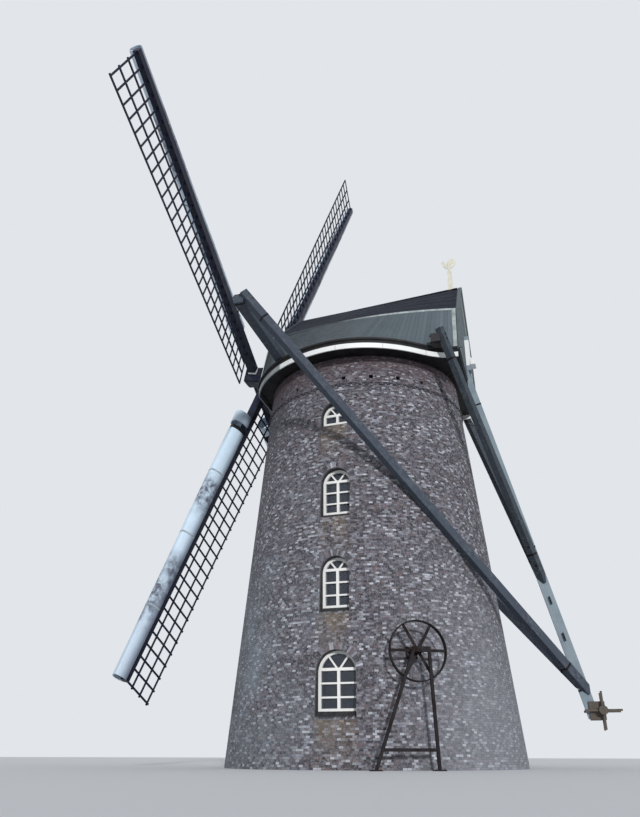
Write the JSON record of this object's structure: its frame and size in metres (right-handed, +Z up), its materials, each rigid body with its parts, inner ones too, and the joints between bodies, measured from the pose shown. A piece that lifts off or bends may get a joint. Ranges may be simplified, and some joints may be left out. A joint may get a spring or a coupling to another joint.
{
  "type": "tower windmill",
  "caption": "Round brick tower windmill with a turning boat-shaped cap, four lattice sails on a sloping shaft, a braced tail pole, a belt pulley and a weathercock.",
  "frame": {"origin": "axis of the round tower on the ground it stands on", "axes": "+Z up, -Y towards the sails, +Y towards the tail pole, +X towards the windows and the belt pulley"},
  "size_m": [24.6158, 13.5958, 25.7675],
  "materials": {
    "brickwork": "weathered brick in lime mortar",
    "floor_boards": "bare aged boards",
    "window_glass": "clear",
    "window_paint": "white paint",
    "door_paint": "dark green paint",
    "black_iron": "black paint with rust",
    "cap_timber": "tarred timber",
    "white_paint": "white paint",
    "roof_felt": "roofing felt",
    "cap_cladding": "grey-green stained boards",
    "tail_timber": "weathered pale green paint",
    "stock_paint": "black paint",
    "lattice_timber": "dark blue-black paint",
    "nose_boards": "white paint, weathered",
    "cock_paint": "cream paint"
  },
  "bodies": {
    "tower": {"wall_window_side": "brickwork", "wall_tail_right": "brickwork", "wall_tail_left": "brickwork", "wall_door_side": "brickwork", "wall_front_left": "brickwork", "wall_front_right": "brickwork", "floor_ground": "brickwork", "floor_first": "floor_boards", "floor_second": "floor_boards", "floor_third": "floor_boards", "window_frames": "window_paint", "window_glass": "window_glass", "back_window_frames": "window_paint", "back_window_glass": "window_glass", "door_frame": "door_paint", "door_leaf": "door_paint", "string_course": "brickwork", "curb": "cap_timber", "pulley_stand": "black_iron", "wall_bearing": "black_iron"},
    "cap": {"cap_ring": "cap_timber", "sheer_left": "cap_timber", "sheer_right": "cap_timber", "eaves_band": "white_paint", "tail_gable": "cap_cladding", "front_panel": "cap_cladding", "weather_beam": "cap_timber", "tail_beam": "cap_timber", "long_spreet": "tail_timber", "short_spreet": "tail_timber", "tail_pole": "tail_timber", "winch": "tail_timber", "beard": "cap_cladding", "cap_wall_left": "cap_cladding", "cap_wall_right": "cap_cladding", "roof_slope_left": "roof_felt", "roof_slope_right": "roof_felt", "long_brace_left": "tail_timber", "long_brace_right": "tail_timber", "short_brace_left": "tail_timber", "short_brace_right": "tail_timber", "cock_post": "cock_paint"},
    "sails": {"windshaft": "stock_paint", "stock_outer": "stock_paint", "stock_inner": "stock_paint", "sail_lattice_1": "lattice_timber", "sail_lattice_2": "lattice_timber", "sail_lattice_3": "lattice_timber", "sail_lattice_4": "lattice_timber", "sail_nose_1": "nose_boards", "sail_nose_2": "nose_boards", "sail_nose_3": "nose_boards", "sail_nose_4": "nose_boards"},
    "weathercock": {"weathercock": "cock_paint"},
    "pulley": {"pulley": "black_iron"}
  },
  "joints": [
    {"name": "cap_turn", "type": "hinge", "parent": "tower", "child": "cap", "pos_m": [0, 0, 12.27], "axis": [0, 0, 1], "continuous": true},
    {"name": "sails_turn", "type": "hinge", "parent": "cap", "child": "sails", "pos_m": [0, -4.1, 13.774], "axis": [0, -0.9794, 0.2021], "continuous": true},
    {"name": "weathercock_turn", "type": "hinge", "parent": "cap", "child": "weathercock", "pos_m": [0, 3.505, 17.3552], "axis": [0, 0, 1], "continuous": true},
    {"name": "pulley_turn", "type": "hinge", "parent": "tower", "child": "pulley", "pos_m": [4.2857, 2.1837, 2.745], "axis": [0.891, 0.454, 0], "continuous": true}
  ]
}
